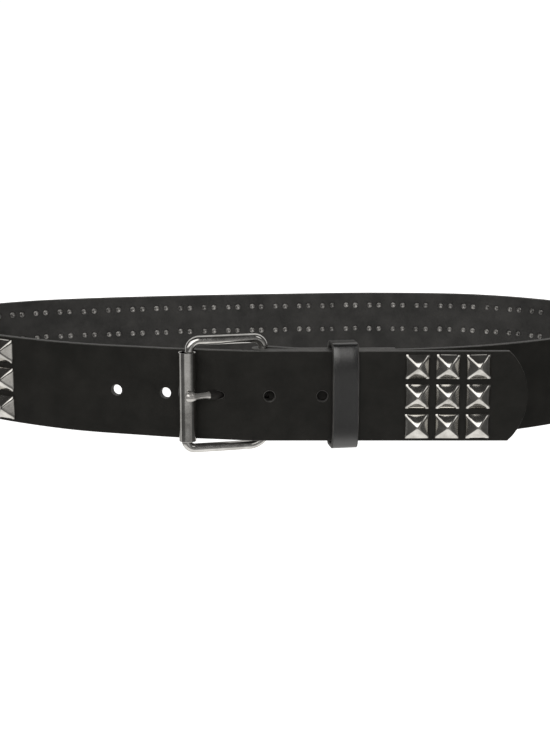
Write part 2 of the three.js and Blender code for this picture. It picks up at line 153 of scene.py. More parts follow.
# The loop's centre line: share of half its width from the middle, share of its depth
LOOP_PLAN = [
    (0.344, 0.007), (0.535, 0.054), (0.744, 0.157), (0.875, 0.262), (0.967, 0.413),
    (1.0, 0.585), (0.968, 0.724), (0.877, 0.84), (0.657, 0.963), (0.329, 1.0),
    (-0.008, 0.973), (-0.34, 0.932), (-0.66, 0.867), (-0.813, 0.814), (-0.973, 0.703),
    (-1.0, 0.605), (-0.971, 0.444), (-0.883, 0.303), (-0.777, 0.214), (-0.558, 0.097),
    (-0.358, 0.038),
]
# The free end's way behind the roller: share of the way, share of the rise
PASS_PLAN = [(1.0, 1.0), (0.7, 0.7), (0.37, 0.34), (0.15, 0.08), (0.0, 0.0)]
# The cut tip: share of its length, share of the strap's width
TIP_PLAN = [(0, 1), (0.567, 0.705), (0.8, 0.49), (0.94, 0.295), (1, 0.1)]
# The tongue behind the strap: share of the way to its hole, clearance in wire diameters
TONGUE_PLAN = [(0.31, 0.25), (0.58, 0.35), (0.78, 0.25)]
# The tongue's hidden thicker stretch: distance from the tip, share of the thickening
TONGUE_FILL_PLAN = [(12.4, 0), (14.2, 1), (25, 1), (31, 0)]

# Places that follow from the sizes
WIRE_RADIUS = WIRE_DIAMETER / 2
TONGUE_RADIUS = TONGUE_DIAMETER / 2
ROLLER_RADIUS = ROLLER_DIAMETER / 2
HALF_THICK = STRAP_THICKNESS / 2
MID_HEIGHT = STRAP_WIDTH / 2
LAYER = STRAP_THICKNESS + GAP
FREE_Y = HALF_THICK
MAIN_Y = FREE_Y + LAYER
FLAP_Y = MAIN_Y + LAYER
RING_RADIUS = WIRE_RADIUS + GAP + TONGUE_RADIUS
SLOT_RADIUS = RING_RADIUS + TONGUE_RADIUS + GAP
SLOT_HEIGHT = TONGUE_DIAMETER + 4 * GAP
WRAP_RADIUS = WIRE_RADIUS + GAP + HALF_THICK
BAR_Y = STRAP_THICKNESS + GAP + SLOT_RADIUS
FRAME_SPAN = FRAME_WIDTH - WIRE_DIAMETER
FRAME_RISE = FRAME_HEIGHT - WIRE_DIAMETER
FRAME_SLANT = FRAME_FLARE / FRAME_RISE
ROLLER_PLAY = (ROLLER_RADIUS - ROLLER_WALL - WIRE_RADIUS - GAP
               - FRAME_SLANT * ROLLER_LENGTH / 2)
ROLLER_REACH = FRAME_SPAN + ROLLER_PLAY
ROLLER_X = -ROLLER_REACH * math.cos(FRAME_LEAN)
ROLLER_Y = BAR_Y - ROLLER_REACH * math.sin(FRAME_LEAN)
ROLLER_HEIGHT = MID_HEIGHT + FRAME_LIFT - ROLLER_DROP
BACK_Y = LOOP_DEPTH - HALF_THICK
HALF_LOOP = (LOOP_WIDTH - STRAP_THICKNESS) / 2
FIRST_HOLE_FROM_TIP = TIP_REACH + TONGUE_HOLE_REACH - TONGUE_HOLE_NUMBER * HOLE_PITCH
RIVET_PLACES = [FOLD_CLOSES + RIVET_PAST_MOUTH,
                KEEPER_PLACE + KEEPER_BAND / 2 + RIVET_PAST_KEEPER + RIVET_HEAD_RADIUS]
ROW_HEIGHTS = [MID_HEIGHT + ((STUD_ROWS - 1) / 2 - row) * STUD_PITCH for row in range(STUD_ROWS)]

# The belt's own frame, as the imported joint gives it
spin = frame["joints"][0]
TILT = math.atan2(spin["axis"][1], spin["axis"][2])
TURN = Matrix.Rotation(-TILT, 4, "X")
roller_middle = Vector((ROLLER_X, ROLLER_Y, ROLLER_HEIGHT)) * MM
BELT = Matrix.Translation(Vector(spin["pos_m"]) - TURN @ roller_middle) @ TURN
BELT_MM = np.array(BELT @ Matrix.Scale(MM, 4))

# Camera, read from the photograph, in the belt's frame
PHOTO_HEIGHT = 733
FOCAL_PIXELS = 1400
SENSOR = 36
CAMERA_PLACE = (5.7, -657.1, 164.3)
CAMERA_DOWN = math.radians(11)

# Brightness of the backdrop and of each patch of the surroundings
BACKDROP = 1.05
SURROUND = 0.045
GROUND = 0.85
FRONT_LOW = 0.08
FRONT_STRIP = 0.5
FRONT_WIDE = 0.05
RIGHT_LOW = 0.17
RIGHT_HIGH = 0.9
LEFT_SIDE = 0.43
RIGHT_SIDE = 0.05
BEHIND = 0.52
WINDOW_EDGE = 1.0
WINDOW = 1.7
LIGHT_COLOUR = (1.0, 0.985, 0.96, 1)

chance = random.Random(7)


def smooth_step(t):
    return t * t * (3 - 2 * t)


def blend(start, end, share):
    return start + (end - start) * share


def spline(points, parts):
    """Centripetal Catmull-Rom curve through the points, in so many parts a span."""
    p = np.array(points, float)
    p = np.vstack([2 * p[0] - p[1], p, 2 * p[-1] - p[-2]])
    out = []
    share = np.linspace(0, 1, parts, endpoint=False)[:, None]
    for a, b, c, d in zip(p, p[1:], p[2:], p[3:]):
        ab, bc, cd = (math.sqrt(np.linalg.norm(v - u)) for u, v in ((a, b), (b, c), (c, d)))
        leave = ((b - a) / ab - (c - a) / (ab + bc) + (c - b) / bc) * bc
        arrive = ((c - b) / bc - (d - b) / (bc + cd) + (d - c) / cd) * bc
        out.append(b + leave * share + (3 * (c - b) - 2 * leave - arrive) * share**2
                   + (2 * (b - c) + leave + arrive) * share**3)
    out.append(p[-2:-1])
    return np.vstack(out)


def strap_stations():
    """The strap's centre line in plan, folded end to tip, with its share of full width."""
    loop = [(LOOP_OFFSET + across * HALF_LOOP, blend(MAIN_Y, BACK_Y, deep), 1)
            for across, deep in LOOP_PLAN]
    parted = (FOLD_REACH - FOLD_PARTS) / (loop[0][0] - FOLD_PARTS)
    end_rise = (loop[0][1] - MAIN_Y) * parted**2
    middle = (FOLD_PARTS + FOLD_CLOSES) / 2
    closing, wrap_steps = 6, 8
    rows = [(FOLD_REACH, FLAP_Y + end_rise, 1), (FOLD_PARTS, FLAP_Y, 1), (middle, FLAP_Y, 1)]
    for i in range(closing, 0, -1):
        rows.append((FOLD_CLOSES * i / closing,
                     blend(BAR_Y + WRAP_RADIUS, FLAP_Y, smooth_step(i / closing)), 1))
    for i in range(wrap_steps + 1):
        angle = math.pi / 2 + math.pi * i / wrap_steps
        rows.append((WRAP_RADIUS * math.cos(angle), BAR_Y + WRAP_RADIUS * math.sin(angle), 1))
    for i in range(1, closing + 1):
        rows.append((FOLD_CLOSES * i / closing,
                     blend(BAR_Y - WRAP_RADIUS, MAIN_Y, smooth_step(i / closing)), 1))
    rows += [(middle, MAIN_Y, 1), (FOLD_PARTS, MAIN_Y, 1), (FOLD_REACH, MAIN_Y + end_rise, 1)]
    rows += loop
    pass_start = -STRAP_THICKNESS
    behind_roller = ROLLER_Y + ROLLER_RADIUS + 2 * GAP + HALF_THICK
    for along, rise in PASS_PLAN:
        rows.append((blend(pass_start, ROLLER_X, along), blend(FREE_Y, behind_roller, rise), 1))
    taper_start = TIP_REACH - TIP_LENGTH
    for share in (0.1, 0.4, 0.7):
        rows.append((blend(pass_start, taper_start, share), FREE_Y, 1))
    for along, half in TIP_PLAN:
        rows.append((taper_start + along * TIP_LENGTH, FREE_Y, half))
    return np.array(rows)


STATIONS = strap_stations()
LINE = spline(STATIONS[:, :2], LINE_PARTS)
LENGTHS = np.concatenate([[0], np.cumsum(np.linalg.norm(np.diff(LINE, axis=0), axis=1))])
STRAP_LENGTH = LENGTHS[-1]
FOLD_LENGTH = FOLD_REACH + math.pi * WRAP_RADIUS


def on_strap(from_tip):
    """Point, direction along and direction outward, in plan, at a distance from the tip."""
    at = STRAP_LENGTH - from_tip
    reach = 0.4
    near = np.array([np.interp(at - reach, LENGTHS, LINE[:, k]) for k in (0, 1)])
    far = np.array([np.interp(at + reach, LENGTHS, LINE[:, k]) for k in (0, 1)])
    along = (far - near) / np.linalg.norm(far - near)
    point = np.array([np.interp(at, LENGTHS, LINE[:, k]) for k in (0, 1)])
    return point, along, np.array([along[1], -along[0]])


def in_belt(points):
    """Points of the belt's frame in millimetres, as points of the row frame in metres."""
    p = np.asarray(points, float).reshape(-1, 3)
    return p @ BELT_MM[:3, :3].T + BELT_MM[:3, 3]


def make(name, points, faces, materials, body="belt", sharp=SHARP, indices=None):
    """A piece from points in the belt's frame, riding on a body of the frame."""
    mesh = bpy.data.meshes.new(name)
    mesh.from_pydata(in_belt(points).tolist(), [], faces)
    for material in materials:
        mesh.materials.append(material)
    if indices is not None:
        mesh.polygons.foreach_set("material_index", indices)
    mesh.validate()
    piece = bpy.data.objects.new(name, mesh)
    bpy.context.scene.collection.objects.link(piece)
    tidy_normals(piece, sharp)
    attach(piece, body)
    return piece


def tidy_normals(piece, sharp):
    """Turns all faces outward and shades them smooth, apart from the sharp edges."""
    shape = bmesh.new()
    shape.from_mesh(piece.data)
    bmesh.ops.recalc_face_normals(shape, faces=shape.faces)
    shape.to_mesh(piece.data)
    shape.free()
    piece.data.shade_smooth()
    piece.data.set_sharp_from_angle(angle=math.radians(sharp))


def loft_faces(count, sides, endless=False, start=0):
    """Faces between rings of points, with end caps or closed into an endless loop."""
    faces = []
    for i in range(count if endless else count - 1):
        near, far = start + i * sides, start + (i + 1) % count * sides
        for j in range(sides):
            k = (j + 1) % sides
            faces.append((near + j, near + k, far + k, far + j))
    if not endless:
        last = start + (count - 1) * sides
        faces.append(tuple(range(start, start + sides))[::-1])
        faces.append(tuple(range(last, last + sides)))
    return faces


def sweep_rings(line, sections, endless=False):
    """Rings of a section, out and up, along a plane line."""
    p = np.asarray(line, float)[:, :2]
    if endless:
        tangent = np.roll(p, -1, 0) - np.roll(p, 1, 0)
    else:
        tangent = np.gradient(p, axis=0)
    tangent /= np.linalg.norm(tangent, axis=1)[:, None]
    out = np.stack([tangent[:, 1], -tangent[:, 0]], 1)
    rings = np.zeros((len(p), len(sections[0]), 3))
    for i, section in enumerate(sections):
        rings[i, :, :2] = p[i] + section[:, :1] * out[i]
        rings[i, :, 2] = section[:, 1]
    return rings


def round_section(radius, sides, height=0.0):
    angle = 2 * math.pi * np.arange(sides) / sides
    return np.stack([radius * np.cos(angle), height + radius * np.sin(angle)], 1)


def band_section(thickness, width, radius, height=0.0, arc=4, spans=10):
    """Rounded band: its points, and for each side the face of the leather that it is."""
    t, w = thickness / 2, width / 2
    points, kinds = [], []
    rounds = [(t - radius, radius - w, -90), (t - radius, w - radius, 0),
              (radius - t, w - radius, 90), (radius - t, radius - w, 180)]
    for corner, (x, y, start) in enumerate(rounds):
        for k in range(arc + 1):
            angle = math.radians(start + 90 * k / arc)
            points.append((x + radius * math.cos(angle), height + y + radius * math.sin(angle)))
            kinds.append(CUT_EDGE)
        if corner in (0, 2):
            face = OUTER_FACE if corner == 0 else INNER_FACE
            side = 1 if corner == 0 else -1
            kinds[-1] = face
            for k in range(1, spans):
                across = (w - radius) * (2 * k / spans - 1)
                points.append((side * t, height + side * across))
                kinds.append(face)
    return np.array(points), kinds


def rounded_rectangle(width, height, radius, steps):
    points = []
    for corner in range(4):
        side_x = 1 if corner in (0, 3) else -1
        side_y = 1 if corner < 2 else -1
        for step in range(steps + 1):
            angle = math.pi / 2 * (corner + step / steps)
            points.append((side_x * (width / 2 - radius) + radius * math.cos(angle),
                           side_y * (height / 2 - radius) + radius * math.sin(angle)))
    return np.array(points)


def node(tree, kind, **inputs):
    made = tree.nodes.new(kind)
    for key, value in inputs.items():
        made.inputs[key].default_value = value
    return made


def new_material(name):
    material = bpy.data.materials.new(name)
    material.use_nodes = True
    tree = material.node_tree
    return material, tree, tree.nodes["Principled BSDF"]


def ramp(tree, source, low, high, dark, light):
    """A colour that runs from dark to light as the source rises from low to high."""
    made = tree.nodes.new("ShaderNodeValToRGB")
    made.color_ramp.elements[0].position = low
    made.color_ramp.elements[1].position = high
    made.color_ramp.elements[0].color = (*dark, 1)
    made.color_ramp.elements[1].color = (*light, 1)
    tree.links.new(source, made.inputs["Fac"])
    return made.outputs["Color"]


def map_range(tree, source, low, high):
    """The source's range from 0 to 1, stretched to run from low to high."""
    made = tree.nodes.new("ShaderNodeMapRange")
    made.inputs["To Min"].default_value = low
    made.inputs["To Max"].default_value = high
    tree.links.new(source, made.inputs["Value"])
    return made.outputs["Result"]


def leather(name, dark, light, rough, grain, bump, sheen):
    """Pebbled black leather: soft patches of colour and gloss, creases and pores."""
    material, tree, shader = new_material(name)
    place = tree.nodes.new("ShaderNodeTexCoord").outputs["Object"]
    patches = node(tree, "ShaderNodeTexNoise", Scale=70.0, Detail=5.0, Roughness=0.6)
    cells = node(tree, "ShaderNodeTexVoronoi", Scale=grain)
    cells.feature = "DISTANCE_TO_EDGE"
    pores = node(tree, "ShaderNodeTexNoise", Scale=grain * 1.9, Detail=3.0, Roughness=0.65)
    for texture in (patches, cells, pores):
        tree.links.new(place, texture.inputs["Vector"])
    colour = ramp(tree, patches.outputs["Fac"], 0.32, 0.7, dark, light)
    tree.links.new(colour, shader.inputs["Base Color"])
    dullness = map_range(tree, patches.outputs["Fac"], *rough)
    tree.links.new(dullness, shader.inputs["Roughness"])
    creases = map_range(tree, cells.outputs["Distance"], 0.0, 1.0)
    creases.node.inputs["From Max"].default_value = 0.12
    height = tree.nodes.new("ShaderNodeMath")
    height.operation = "MULTIPLY_ADD"
    crease_share = 0.6
    height.inputs[1].default_value = crease_share
    tree.links.new(creases, height.inputs[0])
    tree.links.new(pores.outputs["Fac"], height.inputs[2])
    raised = node(tree, "ShaderNodeBump", Strength=bump, Distance=0.00012)
    tree.links.new(height.outputs[0], raised.inputs["Height"])
    tree.links.new(raised.outputs["Normal"], shader.inputs["Normal"])
    shader.inputs["Specular IOR Level"].default_value = sheen
    return material


def metal(name, dark, light, rough, scratch=0.05, metallic=1.0):
    """Bright nickel with a faint tarnish, fine polish lines and shallow dents."""
    material, tree, shader = new_material(name)
    place = tree.nodes.new("ShaderNodeTexCoord").outputs["Object"]
    stretch = tree.nodes.new("ShaderNodeMapping")
    stretch.inputs["Scale"].default_value = (1.0, 1.0, 0.08)
    tree.links.new(place, stretch.inputs["Vector"])
    cloud = node(tree, "ShaderNodeTexNoise", Scale=160.0, Detail=4.0, Roughness=0.55)
    lines = node(tree, "ShaderNodeTexNoise", Scale=2600.0, Detail=2.0, Roughness=0.5)
    dents = node(tree, "ShaderNodeTexNoise", Scale=420.0, Detail=2.0, Roughness=0.5)
    tree.links.new(place, cloud.inputs["Vector"])
    tree.links.new(place, dents.inputs["Vector"])
    tree.links.new(stretch.outputs["Vector"], lines.inputs["Vector"])
    colour = ramp(tree, cloud.outputs["Fac"], 0.35, 0.68, dark, light)
    tree.links.new(colour, shader.inputs["Base Color"])
    dullness = map_range(tree, cloud.outputs["Fac"], *rough)
    tree.links.new(dullness, shader.inputs["Roughness"])
    height = tree.nodes.new("ShaderNodeMath")
    height.operation = "MULTIPLY_ADD"
    line_share = 0.25
    height.inputs[1].default_value = line_share
    tree.links.new(lines.outputs["Fac"], height.inputs[0])
    tree.links.new(dents.outputs["Fac"], height.inputs[2])
    raised = node(tree, "ShaderNodeBump", Strength=scratch, Distance=0.0002)
    tree.links.new(height.outputs[0], raised.inputs["Height"])
    tree.links.new(raised.outputs["Normal"], shader.inputs["Normal"])
    shader.inputs["Metallic"].default_value = metallic
    return material


def keeper_leather():
    """The keeper's smoother black leather under a clear finish."""
    material = leather("leather_keeper", dark=(0.0078, 0.0078, 0.0079),
                       light=(0.0138, 0.0138, 0.0142), rough=(0.19, 0.27),
                       grain=1500, bump=0.2, sheen=1.0)
    shader = material.node_tree.nodes["Principled BSDF"]
    shader.inputs["Coat Weight"].default_value = 1.0
    shader.inputs["Coat Roughness"].default_value = 0.24
    return material


def strap_piece(materials):
    station = np.arange(len(LINE)) / LINE_PARTS
    widths = np.interp(station, np.arange(len(STATIONS)), STATIONS[:, 2])
    marks = np.unique(np.concatenate([
        np.arange(0, STRAP_LENGTH, LINE_STEP), LENGTHS[::LINE_PARTS], [STRAP_LENGTH]]))
    marks = marks[np.concatenate([[True], np.diff(marks) > LINE_LEAST_STEP])]
    marks[-1] = STRAP_LENGTH
    line = np.stack([np.interp(marks, LENGTHS, LINE[:, k]) for k in (0, 1)], 1)
    sections, kinds = [], None
    for share in np.interp(marks, LENGTHS, widths):
        section, kinds = band_section(
            STRAP_THICKNESS, STRAP_WIDTH * share, LEATHER_EDGE_RADIUS, MID_HEIGHT)
        sections.append(section)
    rings = sweep_rings(line, sections)
    faces = loft_faces(len(rings), len(kinds))
    indices = kinds * (len(rings) - 1) + [CUT_EDGE, CUT_EDGE]
    piece = make("strap_leather", rings, faces, materials, indices=indices)
    cut(piece, strap_cutters(materials))
    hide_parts("strap")


def spool(middle, out, radius, length, reach, rim, sides=32):
    """A round cutter along a plane direction, flared at both faces, stretched along the strap."""
    along = np.array([-out[1], out[0]])
    face = HALF_THICK
    flared = radius + HOLE_FLARE * rim
    profile = [(-reach, flared), (-face, radius + rim), (-face + rim, radius),
               (face - rim, radius), (face, radius + rim), (reach, flared)]
    stretch = length / (2 * radius)
    angle = 2 * math.pi * np.arange(sides) / sides
    rings = []
    for height, size in profile:
        plan = middle + out * height + np.outer(size * stretch * np.cos(angle), along)
        rings.append(np.column_stack([plan, MID_HEIGHT + size * np.sin(angle)]))
    return np.array(rings)


def strap_cutters(materials):
    """One object that cuts the holes of the free end and the fold's slot for the tongue."""
    points, faces = [], []
    for i in range(HOLE_COUNT):
        middle, _, out = on_strap(FIRST_HOLE_FROM_TIP + i * HOLE_PITCH)
        length, width, rim = HOLE_DIAMETER, HOLE_DIAMETER, HOLE_RIM
        if i == TONGUE_HOLE_NUMBER:
            length, width, rim = tongue_hole_length(), TONGUE_DIAMETER + 2 * GAP, HOLE_RIM / 3
        rings = spool(middle, out, width / 2, length, HALF_THICK + GAP / 2, rim)
        faces += loft_faces(len(rings), rings.shape[1], start=len(points))
        points += rings.reshape(-1, 3).tolist()
    sides = 48
    disc = round_section(SLOT_RADIUS, sides)
    for z in (-1, 1):
        for x, y in disc:
            points.append((x, BAR_Y + y, MID_HEIGHT + z * SLOT_HEIGHT / 2))
    faces += loft_faces(2, sides, start=len(points) - 2 * sides)
    mesh = bpy.data.meshes.new("cutters")
    mesh.from_pydata(in_belt(points).tolist(), [], faces)
    for material in materials:
        mesh.materials.append(material)
    mesh.polygons.foreach_set("material_index", [CUT_EDGE] * len(faces))
    cutter = bpy.data.objects.new("cutters", mesh)
    bpy.context.scene.collection.objects.link(cutter)
    tidy_normals(cutter, SHARP)
    return cutter


def cut(piece, cutter):
    """Takes the cutter away from the piece and keeps the result as its mesh."""
    modifier = piece.modifiers.new("holes", "BOOLEAN")
    modifier.operation = "DIFFERENCE"
    modifier.solver = "MANIFOLD"
    modifier.object = cutter
    shapes = bpy.context.evaluated_depsgraph_get()
    result = bpy.data.meshes.new_from_object(piece.evaluated_get(shapes))
    piece.modifiers.clear()
    piece.data = result
    piece.data.set_sharp_from_angle(angle=math.radians(SHARP))
    bpy.data.objects.remove(cutter)


def stud_grid():
    """One pressed stud as across, up and height over its base, with its faces."""
    steps = STUD_STEPS
    half = STUD_SIDE / 2
    marks = half * np.linspace(-1, 1, steps + 1)
    points, faces = [], []
    for y in marks:
        for x in marks:
            far = (abs(x / half)**STUD_RIDGE + abs(y / half)**STUD_RIDGE)**(1 / STUD_RIDGE)
            far = min(1.0, far)
            rise = 1 - far**STUD_SWELL
            rise += STUD_RIPPLE * math.sin(2 * math.pi * STUD_WAVES * far) * far**3
            points.append((x * STUD_NARROW, y, STUD_SKIRT + (STUD_HEIGHT - STUD_SKIRT) * rise))
    side = steps + 1
    for j in range(steps):
        for i in range(steps):
            a = j * side + i
            faces.append((a, a + 1, a + side + 1, a + side))
    rim = (list(range(side)) + [j * side + steps for j in range(1, side)]
           + [steps * side + i for i in range(steps - 1, -1, -1)]
           + [j * side for j in range(steps - 1, 0, -1)])
    base = len(points)
    points += [(points[i][0], points[i][1], -STUD_FOOT) for i in rim]
    for k, i in enumerate(rim):
        n = (k + 1) % len(rim)
        faces.append((i, base + k, base + n, rim[n]))
    faces.append(tuple(range(base, base + len(rim)))[::-1])
    return np.array(points), faces


STUD_POINTS, STUD_FACES = stud_grid()


def stud_at(middle, along, out, height):
    """The stud's points on the strap, turned and tipped a little as a hand-set one is."""
    twist = math.radians(chance.gauss(0, STUD_TILT))
    tip_x, tip_y = (math.radians(chance.gauss(0, STUD_TILT)) for _ in range(2))
    x, y, z = STUD_POINTS.T
    u = x * math.cos(twist) - y * math.sin(twist)
    v = x * math.sin(twist) + y * math.cos(twist)
    rise = z + u * tip_x + v * tip_y
    plan = middle + np.outer(u, along) + np.outer(HALF_THICK + rise, out)
    return np.column_stack([plan, height + v])


def field_columns():
    """How far from the strap's tip each column of the main field is."""
    end = STRAP_LENGTH - FOLD_LENGTH - FIELD_FROM_FOLD
    count = int((end - FIELD_FROM_TIP) // STUD_PITCH) + 1
    return [FIELD_FROM_TIP + column * STUD_PITCH for column in range(count)]


def tip_columns():
    return [LAST_STUD_FROM_TIP + (TIP_COLUMNS - 1 - column) * STUD_PITCH
            for column in range(TIP_COLUMNS)]


def stud_pieces(material):
    points, faces = [], []
    for from_tip in field_columns():
        middle, along, out = on_strap(from_tip)
        for height in ROW_HEIGHTS:
            start = len(points)
            points += stud_at(middle, along, out, height).tolist()
            faces += [tuple(start + i for i in face) for face in STUD_FACES]
    make("field_studs", points, faces, [material], sharp=STUD_SHARP)
    for row, height in enumerate(ROW_HEIGHTS):
        for column, from_tip in enumerate(tip_columns()):
            name = f"r{row + 1}c{column + 1}"
            middle, along, out = on_strap(from_tip)
            piece = make(f"tip_stud_shell_{name}", stud_at(middle, along, out, height),
                         STUD_FACES, [material], sharp=STUD_SHARP)
            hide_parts(f"tip_stud_{name}")


def post_end_pieces(material):
    """The clinched ends of the studs' posts, on the strap's inner face."""
    radius, top = POST_END_RADIUS, POST_END_HEIGHT
    profile = [(radius, -0.1), (radius, 0.45 * top), (0.86 * radius, 0.9 * top),
               (0.6 * radius, top), (0.4 * radius, 0.5 * top), (0.14 * radius, 0.1 * top)]
    sides = 12
    angle = 2 * math.pi * np.arange(sides) / sides
    for name, columns in (("field_post_ends", field_columns()), ("tip_post_ends", tip_columns())):
        points, faces = [], []
        for from_tip in columns:
            for side in (-1, 1):
                middle, along, out = on_strap(from_tip + side * POST_SPACING / 2)
                for height in ROW_HEIGHTS:
                    size = chance.uniform(*POST_END_SIZES)
                    shift_x = chance.gauss(0, POST_END_STRAY)
                    shift_y = chance.gauss(0, POST_END_STRAY)
                    start = len(points)
                    for r, h in profile:
                        plan = (middle + np.outer(shift_x + size * r * np.cos(angle), along)
                                - out * (HALF_THICK + h))
                        points += np.column_stack(
                            [plan, height + shift_y + size * r * np.sin(angle)]).tolist()
                    faces += loft_faces(len(profile), sides, start=start)
        make(name, points, faces, [material], sharp=POST_END_SHARP)


def in_frame_plane(points):
    """Points of the buckle's plane, across, up and out of it, in the belt's frame."""
    across, up, out = np.asarray(points, float).reshape(-1, 3).T
    x = across * math.cos(FRAME_LEAN) - out * math.sin(FRAME_LEAN)
    y = across * math.sin(FRAME_LEAN) + out * math.cos(FRAME_LEAN)
    return np.column_stack([x, BAR_Y + y, MID_HEIGHT + FRAME_LIFT + up])


def frame_line():
    """The wire's line: its left bar slants to a wider foot, its lower right corner is drawn in."""
    corner = FRAME_CORNER - WIRE_RADIUS
    x, y = rounded_rectangle(FRAME_SPAN, FRAME_RISE, corner, steps=14).T
    share = 0.5 - x / FRAME_SPAN
    drop = np.maximum(0, -y - (FRAME_RISE / 2 - corner)) / corner
    across = -share * (FRAME_SPAN - FRAME_SLANT * y) - FRAME_DRAW * drop**3 * (1 - share)
    return np.column_stack([across, y])


def frame_piece(material):
    line = frame_line()
    sides = 28
    rings = sweep_rings(line, [round_section(WIRE_RADIUS, sides)] * len(line), endless=True)
    points = in_frame_plane(rings)
    faces = loft_faces(len(rings), sides, endless=True)
    piece = make("buckle_frame_wire", points, faces, [material])
    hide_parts("buckle_frame")


def roller_piece(material):
    """A rolled sheet tube with its seam turned to the back and slightly eased ends."""
    steps = 60
    ease = ROLLER_EASE
    half = ROLLER_LENGTH / 2
    inner = ROLLER_RADIUS - ROLLER_WALL
    section = [(inner, -half + ease), (inner + ease, -half), (ROLLER_RADIUS - ease, -half),
               (ROLLER_RADIUS, -half + ease), (ROLLER_RADIUS, half - ease),
               (ROLLER_RADIUS - ease, half), (inner + ease, half), (inner, half - ease)]
    points = []
    for i in range(steps + 1):
        angle = math.pi / 2 + ROLLER_SEAM + 2 * (math.pi - ROLLER_SEAM) * i / steps
        for radius, up in section:
            points.append((ROLLER_X + radius * math.cos(angle),
                           ROLLER_Y + radius * math.sin(angle), ROLLER_HEIGHT + up))
    faces = loft_faces(steps + 1, len(section))
    piece = make("roller_tube", points, faces, [material], body="roller")
    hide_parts("roller")


def tongue_rest():
    """The tongue's hole, the strap's direction there and the tip's arc round the roller."""
    hole, along, _ = on_strap(TIP_REACH + TONGUE_HOLE_REACH)
    centre = np.array([ROLLER_X, ROLLER_Y])
    reach = ROLLER_RADIUS + GAP + TONGUE_RADIUS
    way = hole - centre
    touch = math.atan2(way[1], way[0]) - math.acos(reach / np.linalg.norm(way))
    return hole, along, centre, reach, touch


def tongue_hole_length():
    _, along, _, _, touch = tongue_rest()
    crossing = touch + math.pi / 2 - math.atan2(along[1], along[0])
    return TONGUE_DIAMETER / math.sin(crossing) + STRAP_THICKNESS / math.tan(crossing) + GAP


def tongue_piece(materials):
    """A bent wire with a slimmer shank and a swollen tip, given a near-black painted shade where it
    runs into its hole and behind the strap.
    """
    points = []
    for angle in np.radians(np.linspace(*TONGUE_RING_ARC, 13)):
        points.append((RING_RADIUS * math.cos(angle), BAR_Y + RING_RADIUS * math.sin(angle)))
    hole, _, centre, reach, touch = tongue_rest()
    for along, clear in TONGUE_PLAN:
        point = on_strap(TIP_REACH + TONGUE_HOLE_REACH * along)[0]
        seat = HALF_THICK + 2 * GAP + TONGUE_RADIUS + clear * TONGUE_DIAMETER
        points.append((point[0], point[1] + seat))
    points.append(tuple(hole))
    for angle in np.linspace(touch, TONGUE_END_ANGLE, 5):
        points.append(tuple(centre + reach * np.array([math.cos(angle), math.sin(angle)])))
    line = spline(points, parts=8)
    run = np.concatenate([[0], np.cumsum(np.linalg.norm(np.diff(line, axis=0), axis=1))])
    left = run[-1] - run
    last_ring = 0.04
    left[-1] = last_ring
    radius = np.where(left < TONGUE_RADIUS,
                      np.sqrt(np.maximum(0, TONGUE_RADIUS**2 - (TONGUE_RADIUS - left)**2)),
                      TONGUE_RADIUS)
    sides = 24
    near_tip = np.clip(1 - left / TONGUE_TIP_LENGTH, 0, 1)
    swell = 1 + TONGUE_TIP_SWELL * smooth_step(np.minimum(1, TONGUE_TIP_STEEP * near_tip))
    slim = np.clip((TONGUE_SHANK_LENGTH - left) / TONGUE_TIP_LENGTH, 0, 1)
    radius = radius * blend(1, TONGUE_SHANK, smooth_step(slim))
    fill = np.interp(left, *zip(*TONGUE_FILL_PLAN))
    swell = swell + TONGUE_FILL * fill
    lift = TONGUE_TIP_LIFT * np.clip(1 - left / TONGUE_LIFT_LENGTH, 0, 1) - TONGUE_SAG * fill
    sections = [round_section(max(TONGUE_LEAST_RADIUS, r), sides) * (1 + (s - 1) / 3, s)
                + (0, MID_HEIGHT + up) for r, s, up in zip(radius, swell, lift)]
    rings = sweep_rings(line, sections)
    # Faces past this length from the tip get the near-black material, a painted shade for the hole
    # and the strap's cover that also hides the ring's glint
    painted_shade = left > TONGUE_UNSHADED_LENGTH
    indices = np.repeat(painted_shade[:-1], sides).astype(int).tolist() + [1, 0]
    piece = make("tongue_wire", rings, loft_faces(len(rings), sides), materials,
                 indices=indices)
    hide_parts("tongue")


def keeper_line(width, height):
    """The keeper's middle line: a rectangle whose corners bend gently down the long faces."""
    steps = 12
    points = []
    for quarter in range(4):
        side_x = 1 if quarter in (0, 3) else -1
        side_y = 1 if quarter < 2 else -1
        for step in range(steps + 1):
            angle = math.pi / 2 * (quarter + step / steps)
            across = side_x * (width / 2 - KEEPER_ROUND) + KEEPER_ROUND * math.cos(angle)
            up = side_y * (height / 2 - KEEPER_BEND) + KEEPER_BEND * math.sin(angle)
            points.append((across, up))
    return np.array(points)


def keeper_piece(materials):
    stack = 3 * STRAP_THICKNESS + 2 * GAP
    swing = KEEPER_BAND * math.tan(KEEPER_TURN)
    depth = (stack + 2 * GAP + swing) * math.cos(KEEPER_TURN) + GAP
    line = keeper_line(depth + KEEPER_THICKNESS, KEEPER_HEIGHT - KEEPER_THICKNESS)
    section, kinds = band_section(KEEPER_THICKNESS, KEEPER_BAND, KEEPER_EDGE_RADIUS, arc=3, spans=4)
    rings = sweep_rings(line, [section] * len(line), endless=True).reshape(-1, 3)
    deep, up, across = rings.T
    x = across * math.cos(KEEPER_TURN) - deep * math.sin(KEEPER_TURN)
    y = across * math.sin(KEEPER_TURN) + deep * math.cos(KEEPER_TURN)
    points = np.column_stack([KEEPER_PLACE + x, stack / 2 + y, MID_HEIGHT + up])
    faces = loft_faces(len(line), len(kinds), endless=True)
    indices = kinds * len(line)
    top = len(line) // 4 - 1
    for i in range(top * len(kinds), (top + 1) * len(kinds)):
        indices[i] = KEEPER_TOP
    piece = make("keeper_leather", points, faces, materials, indices=indices)
    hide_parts("keeper")


